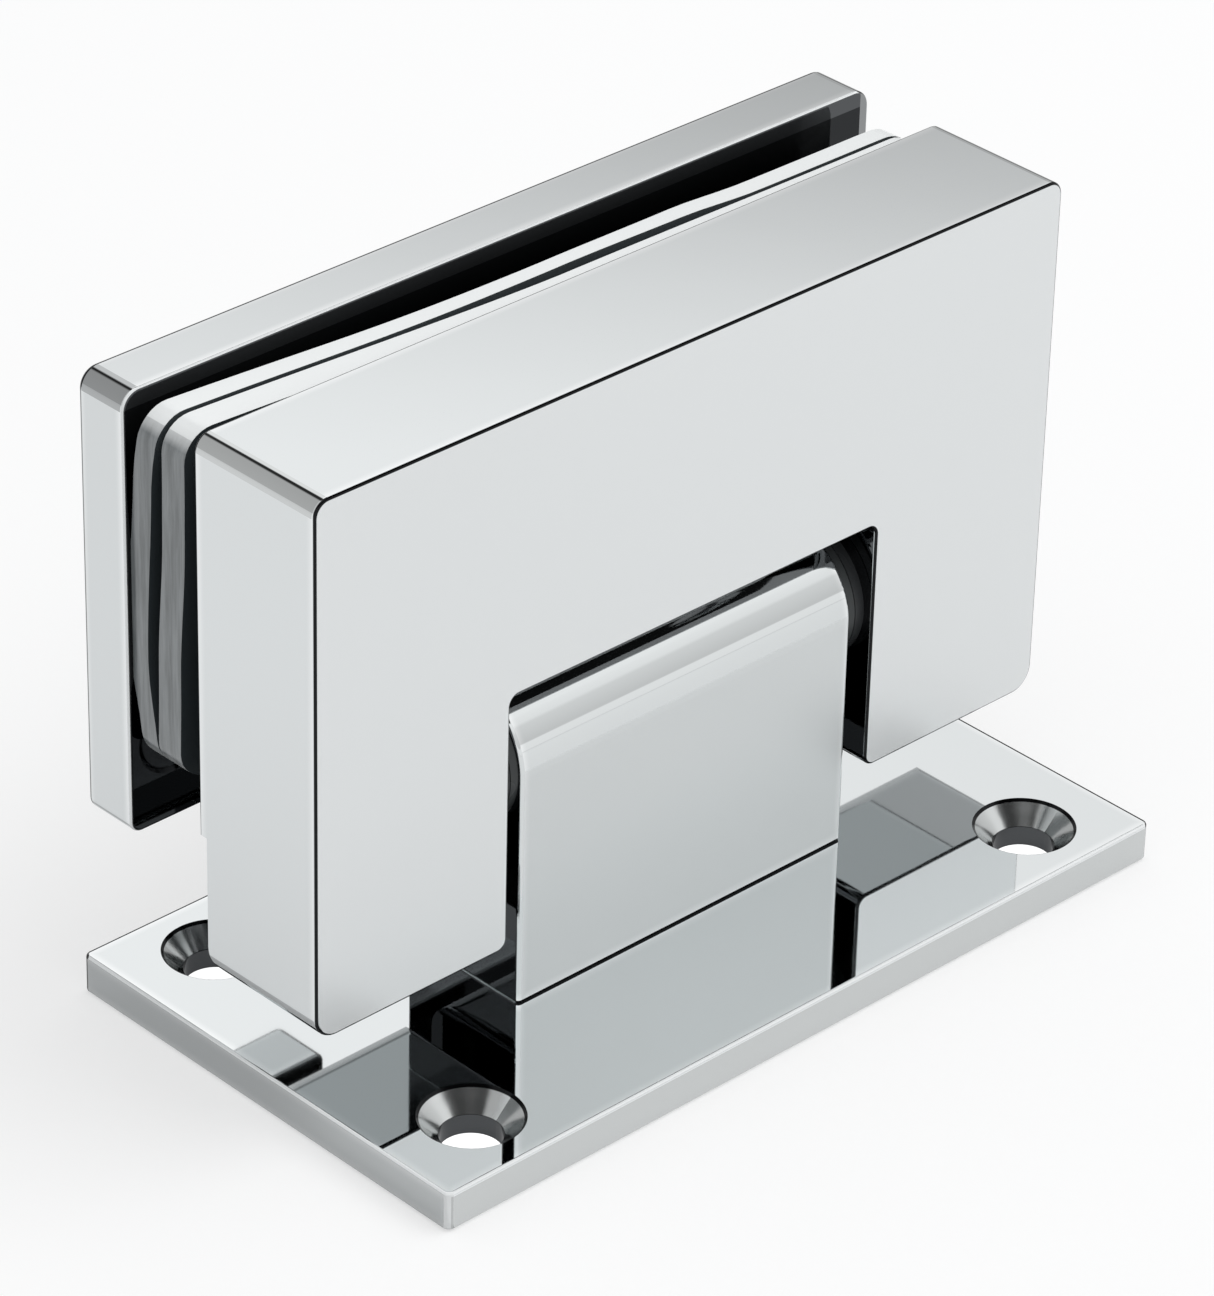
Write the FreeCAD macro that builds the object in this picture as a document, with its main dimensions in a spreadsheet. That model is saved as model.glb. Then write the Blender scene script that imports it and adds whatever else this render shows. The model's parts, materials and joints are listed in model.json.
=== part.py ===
import FreeCAD, Part
import math
import os
import re
import Sketcher

# Glass door hinge: a wall plate with a pivot block, and a leaf that clamps the glass.
# X runs along the pivot, +Z points away from the wall, and the cover plate is on +Y.
# The origin is the centre of the wall plate's back face.

SIZES = {
    # wall plate
    "plate_length": 90.0,
    "plate_width": 50.0,
    "plate_thick": 4.0,
    "plate_corner": 0.8,
    "plate_edge": 0.3,
    "fixing_inset_x": 9.5,
    "fixing_inset_y": 7.5,
    "fixing_hole": 5.9,
    "fixing_sink": 9.9,
    "sink_angle": 90.0,
    # pivot block
    "block_length": 41.5,
    "block_thick": 15.0,
    "block_edge": 0.45,
    "block_foot_edge": 0.25,
    "axis_height": 28.0,
    "chamber_length": 24.0,
    "chamber_width": 10.0,
    # screws that hold the block on the plate
    "block_screw_spacing": 32.4,
    "block_screw_shank": 5.0,
    "block_screw_head": 9.2,
    "block_screw_length": 16.0,
    "block_screw_socket": 3.0,
    # pivot shaft and its bushes
    "shaft_dia": 8.0,
    "shaft_end_inset": 9.0,
    "shaft_slot_play": 0.5,
    "shaft_end_flat": 3.55,
    "cam_flat": 3.4,
    "running_play": 0.03,
    "bush_dia": 10.4,
    "flange_dia": 14.2,
    "flange_thick": 0.9,
    "washer_play": 0.1,
    "washer_thick": 1.1,
    # closing springs and the bar that they press on the shaft
    "bar_thick": 4.0,
    "bar_play": 0.2,
    "bar_gap": 0.05,
    "bar_corner": 0.4,
    "peg_dia": 5.2,
    "peg_length": 2.0,
    "seat_thick": 1.2,
    "spring_spacing": 13.0,
    "spring_dia": 8.6,
    "spring_wire": 1.3,
    "spring_turns": 6.0,
    # clamp body
    "clamp_length": 91.0,
    "clamp_top": 66.0,
    "clamp_front": 8.2,
    "clamp_back": 7.4,
    "ear_back": 6.4,
    "ear_foot": 11.4,
    "step_height": 25.8,
    "cut_top": 37.85,
    "top_corner": 1.6,
    "foot_corner": 2.4,
    "cut_corner": 1.0,
    "lip_corner": 1.2,
    "ear_round": 3.1,
    "clamp_edge": 0.3,
    # keepers that lock the shaft ends in the ears
    "keeper_length": 14.2,
    "keeper_height": 21.6,
    "keeper_thick": 2.8,
    "keeper_corner": 2.0,
    "keeper_wall": 2.0,
    "keeper_play": 0.05,
    "keeper_screw_spacing": 13.4,
    "keeper_screw_shank": 4.0,
    "keeper_screw_head": 7.0,
    "keeper_screw_length": 9.0,
    "keeper_screw_socket": 2.5,
    # cover plate
    "glass_gap": 9.45,
    "cover_thick": 6.15,
    "cover_foot": 21.0,
    "cover_top_corner": 1.9,
    "cover_foot_corner": 1.3,
    "cover_edge": 0.3,
    "cover_back_edge": 0.6,
    # screws that pull the cover plate on the glass
    "cover_screw_inset": 16.0,
    "cover_screw_height": 50.5,
    "cover_screw_shank": 6.0,
    "cover_screw_head": 11.6,
    "cover_screw_length": 25.0,
    "cover_screw_socket": 4.0,
    "screw_rim": 0.3,
    "head_inset": 0.2,
    "thread_play": 0.03,
    "hole_play": 0.2,
    "sleeve_dia": 10.0,
    # gaskets
    "gasket_end_inset": 0.3,
    "gasket_foot": 29.3,
    "gasket_top_inset": 1.7,
    "gasket_corner": 3.0,
    "front_gasket_thick": 3.0,
    "back_gasket_thick": 2.0,
    "gasket_play": 0.06,
    "gasket_hole_play": 0.3,
}

# Places that follow from the sizes and that more than one piece uses
PLACES = {
    "half_clamp": "clamp_length / 2",
    "flange_face": "block_length / 2 + flange_thick",
    "half_cut": "flange_face + washer_play + washer_thick",
    "half_shaft": "half_clamp - shaft_end_inset",
    "cover_screw_x": "half_clamp - cover_screw_inset",
    "cover_front": "clamp_back + glass_gap",
    "keeper_near": "half_cut + keeper_wall",
    "keeper_middle": "keeper_near + keeper_length / 2",
    "keeper_floor": "ear_back - keeper_thick",
    "bar_top": "axis_height - shaft_dia / 2 - bar_gap",
    "spring_foot": "plate_thick + seat_thick",
    "spring_room": "bar_top - bar_thick - spring_foot",
    "half_gasket": "half_clamp - gasket_end_inset",
    "gasket_top": "clamp_top - gasket_top_inset",
    "front_gasket_face": "clamp_back + gasket_play",
    "back_gasket_face": "front_gasket_face + front_gasket_thick + gasket_play",
}

doc = FreeCAD.newDocument("glass_door_hinge")
sheet = doc.addObject("Spreadsheet::Sheet", "sizes")
rows = [(alias, str(number)) for alias, number in SIZES.items()]
rows += [(alias, "=" + words) for alias, words in PLACES.items()]
for row, (alias, content) in enumerate(rows, start=1):
    sheet.set(f"A{row}", alias)
    sheet.set(f"B{row}", content)
    sheet.setAlias(f"B{row}", alias)
    doc.recompute()

NAMES = sorted([*SIZES, *PLACES], key=len, reverse=True)
ALIAS = re.compile(r"\b(" + "|".join(NAMES) + r")\b")
X_AXIS = FreeCAD.Vector(1, 0, 0)
Y_AXIS = FreeCAD.Vector(0, 1, 0)
Z_AXIS = FreeCAD.Vector(0, 0, 1)
SIDES = (("left", -1), ("right", 1))
TOUCH = 0.01
parts = []


def formula(words):
    """Sheet formula: each alias is looked up in the sheet."""
    return ALIAS.sub(r"sizes.\1", str(words))


def size(alias):
    return float(sheet.get(alias))


def new_body(label):
    body = doc.addObject("PartDesign::Body", label)
    body.Label = label
    parts.append(body)
    return body


def new_sketch(body, name, role, lift="0", across="0", up="0"):
    """Sketch on an origin plane, moved along its normal and in its own plane."""
    plane = next(item for item in body.Origin.OriginFeatures if item.Role == role)
    sketch = body.newObject("Sketcher::SketchObject", f"{body.Name}_{name}")
    sketch.AttachmentSupport = [(plane, "")]
    sketch.MapMode = "FlatFace"
    sketch.setExpression("AttachmentOffset.Base.x", formula(across))
    sketch.setExpression("AttachmentOffset.Base.y", formula(up))
    sketch.setExpression("AttachmentOffset.Base.z", formula(lift))
    return sketch


def place_point(sketch, geometry, point, across, up):
    """Tie one point of the sketch to its two coordinates."""
    for kind, words in (("DistanceX", across), ("DistanceY", up)):
        at = sketch.getPoint(geometry, point)
        start = at.x if kind == "DistanceX" else at.y
        index = sketch.addConstraint(Sketcher.Constraint(kind, -1, 1, geometry, point, start))
        sketch.setExpression(f"Constraints[{index}]", formula(words))


def draw_outline(sketch, points):
    """Closed outline of straight lines through points given as formulas."""
    count = len(points)
    start = sketch.GeometryCount
    ring = [FreeCAD.Vector(9 * math.cos(2 * math.pi * i / count),
                           9 * math.sin(2 * math.pi * i / count), 0) for i in range(count)]
    for i in range(count):
        sketch.addGeometry(Part.LineSegment(ring[i], ring[(i + 1) % count]))
    for i in range(count):
        following = start + (i + 1) % count
        sketch.addConstraint(Sketcher.Constraint("Coincident", start + i, 2, following, 1))
        place_point(sketch, start + i, 1, *points[i])


def draw_rectangle(sketch, left, right, low, high):
    draw_outline(sketch, [(left, low), (right, low), (right, high), (left, high)])


def draw_circle(sketch, across, up, diameter):
    circle = Part.Circle(FreeCAD.Vector(1, 1, 0), Z_AXIS, 1)
    index = sketch.addGeometry(circle)
    place_point(sketch, index, 3, across, up)
    ring = sketch.addConstraint(Sketcher.Constraint("Diameter", index, 2))
    sketch.setExpression(f"Constraints[{ring}]", formula(diameter))


def draw_rounding(sketch, across, up, radius):
    """Waste outside the rounded corner at (across, up), a little larger than it need be."""
    points = [(f"{across} - {radius}", up), (f"{across} - {radius}", f"{up} - 1"),
              (f"{across} + 1", f"{up} - 1"), (f"{across} + 1", f"{up} + {radius}"),
              (across, f"{up} + {radius}")]
    right, low, bend = size(across), size(up), size(radius)
    places = [(right - bend, low), (right - bend, low - 1), (right + 1, low - 1),
              (right + 1, low + bend), (right, low + bend)]
    corners = [FreeCAD.Vector(x, y, 0) for x, y in places]
    for start, end in zip(corners, corners[1:]):
        sketch.addGeometry(Part.LineSegment(start, end))
    circle = Part.Circle(FreeCAD.Vector(right - bend, low + bend, 0), Z_AXIS, bend)
    arc = sketch.addGeometry(Part.ArcOfCircle(circle, -math.pi / 2, 0))
    for line in range(1, arc):
        sketch.addConstraint(Sketcher.Constraint("Coincident", line - 1, 2, line, 1))
    sketch.addConstraint(Sketcher.Constraint("Coincident", arc, 1, 0, 1))
    sketch.addConstraint(Sketcher.Constraint("Coincident", arc, 2, arc - 1, 2))
    for line in range(arc):
        place_point(sketch, line, 1, *points[line])
    place_point(sketch, arc - 1, 2, *points[-1])
    ring = sketch.addConstraint(Sketcher.Constraint("Radius", arc, bend))
    sketch.setExpression(f"Constraints[{ring}]", formula(radius))


def add_pad(sketch, length, reverse=False, both_ways=False):
    body = sketch.getParentGeoFeatureGroup()
    pad = body.newObject("PartDesign::Pad", sketch.Name + "_pad")
    pad.Profile = sketch
    pad.setExpression("Length", formula(length))
    pad.Reversed = reverse
    pad.SideType = "Symmetric" if both_ways else "One side"
    doc.recompute()
    return pad


def add_pocket(sketch, length, reverse=False, both_ways=False):
    body = sketch.getParentGeoFeatureGroup()
    before = body.Tip.Shape.Volume
    pocket = body.newObject("PartDesign::Pocket", sketch.Name + "_pocket")
    pocket.Profile = sketch
    pocket.setExpression("Length", formula(length))
    pocket.Reversed = reverse
    pocket.SideType = "Symmetric" if both_ways else "One side"
    doc.recompute()
    if not pocket.Shape.Volume < before:
        raise ValueError(f"{pocket.Name} cuts nothing")
    return pocket


def add_turned(sketch):
    """Turn a half profile around the sketch's own horizontal axis."""
    body = sketch.getParentGeoFeatureGroup()
    turned = body.newObject("PartDesign::Revolution", sketch.Name + "_turned")
    turned.Profile = sketch
    turned.ReferenceAxis = (sketch, ["H_Axis"])
    turned.Angle = 360
    doc.recompute()
    return turned


def add_holes(sketch, diameter, sink=None, reverse=False, depth=None):
    """Drill the sketch's circles, with a countersink where one is given."""
    body = sketch.getParentGeoFeatureGroup()
    before = body.Tip.Shape.Volume
    hole = body.newObject("PartDesign::Hole", sketch.Name + "_holes")
    doc.recompute()
    hole.Profile = sketch
    hole.ThreadType = "None"
    hole.DepthType = "Dimension" if depth else "ThroughAll"
    if depth:
        hole.setExpression("Depth", formula(depth))
        hole.DrillPoint = "Angled"
    hole.setExpression("Diameter", formula(diameter))
    if sink:
        hole.HoleCutType = "Countersink"
        hole.HoleCutCustomValues = True
        hole.setExpression("HoleCutDiameter", formula(sink))
        hole.setExpression("HoleCutCountersinkAngle", formula("sink_angle"))
    hole.Reversed = reverse
    doc.recompute()
    if not hole.Shape.Volume < before:
        raise ValueError(f"{hole.Name} drills nothing")
    return hole


def edge_names(feature, wanted):
    """Names of the feature's edges that pass a test."""
    edges = enumerate(feature.Shape.Edges, start=1)
    return [f"Edge{index}" for index, edge in edges if wanted(edge)]


def runs_along(edge, axis):
    if len(edge.Vertexes) < 2:
        return False
    span = edge.Vertexes[1].Point - edge.Vertexes[0].Point
    return abs(abs(span.dot(axis)) - edge.Length) < TOUCH


def lies_at(edge, axis, value):
    """The whole edge lies in the plane that crosses an axis at a value."""
    box = edge.BoundBox
    low = FreeCAD.Vector(box.XMin, box.YMin, box.ZMin).dot(axis)
    high = FreeCAD.Vector(box.XMax, box.YMax, box.ZMax).dot(axis)
    return abs(low - value) < TOUCH and abs(high - value) < TOUCH


def round_edges(feature, name, radius, wanted):
    body = feature.getParentGeoFeatureGroup()
    rounded = body.newObject("PartDesign::Fillet", f"{body.Name}_{name}")
    rounded.Base = (feature, edge_names(feature, wanted))
    rounded.setExpression("Radius", formula(radius))
    doc.recompute()
    return rounded


def make_wall_plate():
    body = new_body("wall_plate")
    outline = new_sketch(body, "outline", "XY_Plane")
    draw_rectangle(outline, "-plate_length / 2", "plate_length / 2",
                   "-plate_width / 2", "plate_width / 2")
    plate = add_pad(outline, "plate_thick")
    plate = round_edges(plate, "corners", "plate_corner", lambda edge: runs_along(edge, Z_AXIS))
    top = size("plate_thick")
    plate = round_edges(plate, "rim", "plate_edge", lambda edge: lies_at(edge, Z_AXIS, top))
    plate = round_edges(plate, "back_rim", "plate_edge", lambda edge: lies_at(edge, Z_AXIS, 0))

    fixing = new_sketch(body, "fixing", "XY_Plane", lift="plate_thick")
    for across in ("-1", "1"):
        for up in ("-1", "1"):
            draw_circle(fixing, f"{across} * (plate_length / 2 - fixing_inset_x)",
                        f"{up} * (plate_width / 2 - fixing_inset_y)", "fixing_hole")
    add_holes(fixing, "fixing_hole", "fixing_sink")

    block_fixing = new_sketch(body, "block_fixing", "XY_Plane")
    for across in ("-1", "1"):
        draw_circle(block_fixing, f"{across} * block_screw_spacing / 2", "0", "block_screw_shank")
    add_holes(block_fixing, "block_screw_shank + 2 * hole_play",
              "block_screw_head + 2 * (head_inset + screw_rim + thread_play)", reverse=True)


def make_pivot_block():
    """Block with a half round head around the pivot, hollow below the shaft."""
    body = new_body("pivot_block")
    shank = new_sketch(body, "shank", "YZ_Plane")
    draw_rectangle(shank, "-block_thick / 2", "block_thick / 2", "plate_thick", "axis_height")
    add_pad(shank, "block_length", both_ways=True)
    head = new_sketch(body, "head", "YZ_Plane")
    draw_circle(head, "0", "axis_height", "block_thick")
    block = add_pad(head, "block_length", both_ways=True)
    foot = size("plate_thick")
    ends = size("block_length") / 2
    block = round_edges(block, "end_rims", "block_edge",
                        lambda edge: (lies_at(edge, X_AXIS, ends) or lies_at(edge, X_AXIS, -ends))
                        and not lies_at(edge, Z_AXIS, foot))
    round_edges(block, "foot_rim", "block_foot_edge",
                lambda edge: lies_at(edge, Z_AXIS, foot) and edge.Length > TOUCH)

    bore = new_sketch(body, "bush_bore", "YZ_Plane")
    draw_circle(bore, "0", "axis_height", "bush_dia + 2 * thread_play")
    add_pocket(bore, "block_length + 2", both_ways=True)
    chamber = new_sketch(body, "chamber", "XY_Plane", lift="axis_height")
    draw_rectangle(chamber, "-chamber_length / 2", "chamber_length / 2",
                   "-chamber_width / 2", "chamber_width / 2")
    add_pocket(chamber, "axis_height")
    threads = new_sketch(body, "threads", "XY_Plane", lift="plate_thick")
    for across in ("-1", "1"):
        draw_circle(threads, f"{across} * block_screw_spacing / 2", "0", "block_screw_shank")
    add_holes(threads, "block_screw_shank + 2 * thread_play", reverse=True,
              depth="block_screw_length - plate_thick + 1")


def make_turned_part(label, rings, lift="axis_height"):
    """Ring turned around the pivot: each point is its place along X and its diameter."""
    body = new_body(label)
    profile = new_sketch(body, "profile", "XZ_Plane", up=lift)
    draw_outline(profile, [(along, f"({diameter}) / 2") for along, diameter in rings])
    add_turned(profile)
    return body


def make_bushes_and_washers():
    """Flanged bush in the block and thrust washer against the ear, at each side."""
    bore = "shaft_dia + 2 * running_play"
    for name, side in SIDES:
        make_turned_part(f"bush_{name}", [
            (f"{side} * chamber_length / 2", bore),
            (f"{side} * flange_face", bore),
            (f"{side} * flange_face", "flange_dia"),
            (f"{side} * block_length / 2", "flange_dia"),
            (f"{side} * block_length / 2", "bush_dia"),
            (f"{side} * chamber_length / 2", "bush_dia"),
        ])
        make_turned_part(f"thrust_washer_{name}", [
            (f"{side} * (flange_face + washer_play)", bore),
            (f"{side} * half_cut", bore),
            (f"{side} * half_cut", "flange_dia"),
            (f"{side} * (flange_face + washer_play)", "flange_dia"),
        ])


def make_pivot_shaft():
    """Round shaft: three cam flats in the middle, one locking flat at each end."""
    body = new_body("pivot_shaft")
    section = new_sketch(body, "section", "YZ_Plane", up="axis_height")
    draw_circle(section, "0", "0", "shaft_dia")
    add_pad(section, "2 * half_shaft", both_ways=True)
    cam = new_sketch(body, "cam", "YZ_Plane", up="axis_height")
    draw_rectangle(cam, "-shaft_dia", "-cam_flat", "-shaft_dia", "shaft_dia")
    draw_rectangle(cam, "cam_flat", "shaft_dia", "-shaft_dia", "shaft_dia")
    draw_rectangle(cam, "-cam_flat + running_play", "cam_flat - running_play",
                   "-shaft_dia", "-cam_flat")
    add_pocket(cam, "chamber_length", both_ways=True)
    for name, side in SIDES:
        flat = new_sketch(body, f"flat_{name}", "YZ_Plane", up="axis_height",
                          lift=f"{side} * half_shaft")
        draw_rectangle(flat, "shaft_end_flat", "shaft_dia", "-shaft_dia", "shaft_dia")
        add_pocket(flat, "half_shaft - keeper_near", reverse=side < 0)


def make_pressure_bar():
    """Bar that the springs press on the shaft's flats, with a peg in each spring."""
    body = new_body("pressure_bar")
    outline = new_sketch(body, "outline", "XY_Plane",
                         lift="bar_top")
    draw_rectangle(outline, "-chamber_length / 2 + bar_play", "chamber_length / 2 - bar_play",
                   "-chamber_width / 2 + bar_play", "chamber_width / 2 - bar_play")
    bar = add_pad(outline, "bar_thick", reverse=True)
    round_edges(bar, "ends", "bar_corner", lambda edge: runs_along(edge, Z_AXIS))
    pegs = new_sketch(body, "pegs", "XY_Plane",
                      lift="bar_top - bar_thick")
    for across in ("-1", "1"):
        draw_circle(pegs, f"{across} * spring_spacing / 2", "0", "peg_dia")
    add_pad(pegs, "peg_length", reverse=True)


def make_spring_seat():
    """Strip on the wall plate that keeps the springs upright."""
    body = new_body("spring_seat")
    outline = new_sketch(body, "outline", "XY_Plane", lift="plate_thick")
    draw_rectangle(outline, "-chamber_length / 2 + bar_play", "chamber_length / 2 - bar_play",
                   "-chamber_width / 2 + bar_play", "chamber_width / 2 - bar_play")
    add_pad(outline, "seat_thick")
    pegs = new_sketch(body, "pegs", "XY_Plane", lift="spring_foot")
    for across in ("-1", "1"):
        draw_circle(pegs, f"{across} * spring_spacing / 2", "0", "peg_dia")
    add_pad(pegs, "peg_length")


def make_springs():
    """Coil springs with ends ground flat, between the seat and the bar."""
    for name, side in SIDES:
        coil = doc.addObject("Part::Helix", f"coil_{name}")
        coil.setExpression("Radius", formula("(spring_dia - spring_wire) / 2"))
        coil.setExpression("Pitch", formula("spring_room / spring_turns"))
        coil.setExpression("Height", formula("spring_room / spring_turns * (spring_turns + 1)"))
        wire = doc.addObject("Part::Circle", f"wire_{name}")
        wire.setExpression("Radius", formula("spring_wire / 2"))
        wire.Placement.Rotation = FreeCAD.Rotation(X_AXIS, 90)
        wire.setExpression("Placement.Base.x", formula("(spring_dia - spring_wire) / 2"))
        sweep = doc.addObject("Part::Sweep", f"sweep_{name}")
        sweep.Sections = [wire]
        sweep.Spine = (coil, ["Edge1"])
        sweep.Solid = True
        sweep.Frenet = True
        sweep.setExpression("Placement.Base.x", formula(f"{side} * spring_spacing / 2"))
        sweep.setExpression("Placement.Base.z",
                            formula("spring_foot - spring_room / spring_turns / 2"))
        room_box = doc.addObject("Part::Cylinder", f"room_{name}")
        room_box.setExpression("Radius", formula("spring_dia"))
        room_box.setExpression("Height", formula("spring_room"))
        room_box.setExpression("Placement.Base.x", formula(f"{side} * spring_spacing / 2"))
        room_box.setExpression("Placement.Base.z", formula("spring_foot"))
        spring = doc.addObject("Part::Common", f"spring_{name}")
        spring.Base = sweep
        spring.Tool = room_box
        spring.Label = f"spring_{name}"
        parts.append(spring)
    doc.recompute()


def notched_outline(half, foot, top):
    """Rectangle with a notch in its foot that clears the pivot block."""
    return [
        (f"-{half}", foot), ("-half_cut", foot), ("-half_cut", "cut_top"),
        ("half_cut", "cut_top"), ("half_cut", foot), (half, foot),
        (half, top), (f"-{half}", top),
    ]


def make_clamp_body():
    """Thick front plate with an ear each side of the pivot block."""
    body = new_body("clamp_body")
    outline = new_sketch(body, "outline", "XZ_Plane", lift="-clamp_back")
    draw_outline(outline, notched_outline("half_clamp", "ear_foot", "clamp_top"))
    casting = add_pad(outline, "clamp_back + clamp_front")
    end, cut_end = size("half_clamp"), size("half_cut")
    foot, top, cut_top = size("ear_foot"), size("clamp_top"), size("cut_top")

    def corner(across, up):
        def wanted(edge):
            middle = edge.CenterOfMass
            return (runs_along(edge, Y_AXIS) and abs(abs(middle.x) - across) < TOUCH
                    and abs(middle.z - up) < TOUCH)
        return wanted

    casting = round_edges(casting, "top_corners", "top_corner", corner(end, top))
    casting = round_edges(casting, "foot_corners", "foot_corner", corner(end, foot))
    casting = round_edges(casting, "cut_corners", "cut_corner", corner(cut_end, cut_top))
    round_edges(casting, "lip_corners", "lip_corner", corner(cut_end, foot))

    step = new_sketch(body, "step", "XZ_Plane", lift="-clamp_back")
    draw_rectangle(step, "-half_clamp - 1", "half_clamp + 1", "ear_foot - 1", "step_height")
    add_pocket(step, "clamp_back - ear_back", reverse=True)
    ear_rounds = new_sketch(body, "ear_rounds", "YZ_Plane")
    draw_rounding(ear_rounds, "ear_back", "ear_foot", "ear_round")
    casting = add_pocket(ear_rounds, "clamp_length + 2", both_ways=True)
    front, back = -size("clamp_front"), size("clamp_back")
    casting = round_edges(casting, "front_rim", "clamp_edge",
                          lambda edge: lies_at(edge, Y_AXIS, front))
    casting = round_edges(casting, "back_rim", "clamp_edge",
                          lambda edge: lies_at(edge, Y_AXIS, back)
                          and not lies_at(edge, Z_AXIS, cut_top))

    slot = new_sketch(body, "shaft_slot", "YZ_Plane", up="axis_height")
    draw_rectangle(slot, "0", "clamp_back + 1", "-shaft_dia / 2 - running_play",
                   "shaft_dia / 2 + running_play")
    add_pocket(slot, "2 * (half_shaft + shaft_slot_play)", both_ways=True)
    bore = new_sketch(body, "shaft_bore", "YZ_Plane", up="axis_height")
    draw_circle(bore, "0", "0", "shaft_dia + 2 * running_play")
    add_pocket(bore, "2 * (half_shaft + shaft_slot_play)", both_ways=True)

    for name, side in SIDES:
        recess = new_sketch(body, f"recess_{name}", "XZ_Plane", lift="-clamp_back - 1")
        near = f"{side} * (keeper_near - keeper_play)"
        far = f"{side} * (keeper_near + keeper_length + keeper_play)"
        draw_rectangle(recess, near, far, "axis_height - keeper_height / 2 - keeper_play",
                       "axis_height + keeper_height / 2 + keeper_play")
        pocket = add_pocket(recess, "clamp_back + 1 - keeper_floor", reverse=True)
        high = size("axis_height") + size("keeper_height") / 2 + size("keeper_play")
        low = size("axis_height") - size("keeper_height") / 2 - size("keeper_play")
        round_edges(pocket, f"recess_corners_{name}", "keeper_corner",
                    lambda edge: runs_along(edge, Y_AXIS) and side * edge.CenterOfMass.x > 0
                    and (abs(edge.CenterOfMass.z - high) < TOUCH
                         or abs(edge.CenterOfMass.z - low) < TOUCH))

    keeper_threads = new_sketch(body, "keeper_threads", "XZ_Plane", lift="-keeper_floor")
    for across in ("-1", "1"):
        for up in ("-1", "1"):
            draw_circle(keeper_threads,
                        f"{across} * keeper_middle",
                        f"axis_height + {up} * keeper_screw_spacing / 2", "keeper_screw_shank")
    add_holes(keeper_threads, "keeper_screw_shank + 2 * thread_play", reverse=True,
              depth="keeper_screw_length - keeper_thick + 0.8")
    cover_threads = new_sketch(body, "cover_threads", "XZ_Plane", lift="-clamp_back")
    for across in ("-1", "1"):
        draw_circle(cover_threads, f"{across} * cover_screw_x",
                    "cover_screw_height", "cover_screw_shank")
    add_holes(cover_threads, "cover_screw_shank + 2 * thread_play", reverse=True,
              depth="cover_screw_length - cover_thick - glass_gap + 1")


def make_cover_plate():
    """Plate behind the glass, cut away round the pivot block like the clamp body."""
    body = new_body("cover_plate")
    outline = new_sketch(body, "outline", "XZ_Plane", lift="-cover_front")
    draw_outline(outline, notched_outline("half_clamp", "cover_foot", "clamp_top"))
    plate = add_pad(outline, "cover_thick", reverse=True)
    end = size("half_clamp")
    cut_end = size("half_cut")
    foot, top = size("cover_foot"), size("clamp_top")
    for name, radius, level in (("top_corners", "cover_top_corner", top),
                                ("foot_corners", "cover_foot_corner", foot)):
        plate = round_edges(plate, name, radius,
                            lambda edge: runs_along(edge, Y_AXIS)
                            and abs(abs(edge.CenterOfMass.x) - end) < TOUCH
                            and abs(edge.CenterOfMass.z - level) < TOUCH)
    plate = round_edges(plate, "cut_corners", "cut_corner",
                        lambda edge: runs_along(edge, Y_AXIS)
                        and abs(abs(edge.CenterOfMass.x) - cut_end) < TOUCH)
    front = size("cover_front")
    back = front + size("cover_thick")
    plate = round_edges(plate, "front_rim", "cover_edge",
                        lambda edge: lies_at(edge, Y_AXIS, front))
    round_edges(plate, "back_rim", "cover_back_edge", lambda edge: lies_at(edge, Y_AXIS, back))
    holes = new_sketch(body, "screw_holes", "XZ_Plane", lift="-cover_front - cover_thick")
    for across in ("-1", "1"):
        draw_circle(holes, f"{across} * cover_screw_x", "cover_screw_height",
                    "cover_screw_shank")
    add_holes(holes, "cover_screw_shank + 2 * hole_play",
              "cover_screw_head + 2 * (head_inset + screw_rim + thread_play)", reverse=True)


def make_gaskets():
    """Flat plastic gaskets between the two clamping faces and the glass."""
    layers = (("front_gasket", "front_gasket_face", "front_gasket_thick"),
              ("back_gasket", "back_gasket_face", "back_gasket_thick"))
    end = size("half_gasket")
    cut_end = size("half_cut")
    for label, face, thickness in layers:
        body = new_body(label)
        outline = new_sketch(body, "outline", "XZ_Plane", lift=f"-{face}")
        draw_outline(outline, notched_outline("half_gasket", "gasket_foot", "gasket_top"))
        for across in ("-1", "1"):
            draw_circle(outline, f"{across} * cover_screw_x", "cover_screw_height",
                        "sleeve_dia + 2 * gasket_hole_play")
        pad = add_pad(outline, thickness, reverse=True)
        pad = round_edges(pad, "corners", "gasket_corner",
                          lambda edge: runs_along(edge, Y_AXIS)
                          and abs(abs(edge.CenterOfMass.x) - end) < TOUCH)
        round_edges(pad, "cut_corners", "cut_corner",
                    lambda edge: runs_along(edge, Y_AXIS)
                    and abs(abs(edge.CenterOfMass.x) - cut_end) < TOUCH)


def make_sleeves():
    """Plastic sleeves that keep the cover screws off the glass."""
    for name, side in SIDES:
        body = new_body(f"screw_sleeve_{name}")
        ring = new_sketch(body, "ring", "XZ_Plane", lift="-clamp_back - gasket_play")
        for diameter in ("sleeve_dia", "cover_screw_shank + 2 * hole_play"):
            draw_circle(ring, f"{side} * cover_screw_x", "cover_screw_height", diameter)
        add_pad(ring, "glass_gap - 2 * gasket_play", reverse=True)


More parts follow.
